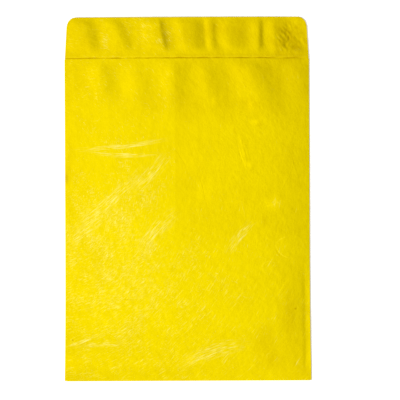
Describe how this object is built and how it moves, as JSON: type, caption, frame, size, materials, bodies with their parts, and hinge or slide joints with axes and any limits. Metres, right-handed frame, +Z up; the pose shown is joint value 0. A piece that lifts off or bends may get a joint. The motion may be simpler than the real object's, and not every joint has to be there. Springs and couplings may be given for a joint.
{
  "type": "open-end envelope",
  "caption": "Flat open-end mailing envelope of yellow spun-bonded fibre sheet, its flap opened out at one short end and its pocket slightly open.",
  "frame": {"origin": "on the surface that the envelope lies on, under the middle of its outline with the flap opened out", "axes": "+X across the envelope, towards the right seen from the front, +Y from the bottom fold towards the flap, +Z up out of the front panel"},
  "size_m": [0.254, 0.3746, 0.0104],
  "materials": {
    "yellow_fibre_sheet": "satin",
    "white_release_paper": "satin"
  },
  "bodies": {
    "root": {"envelope": "yellow_fibre_sheet", "release_strip": "white_release_paper"}
  },
  "joints": []
}
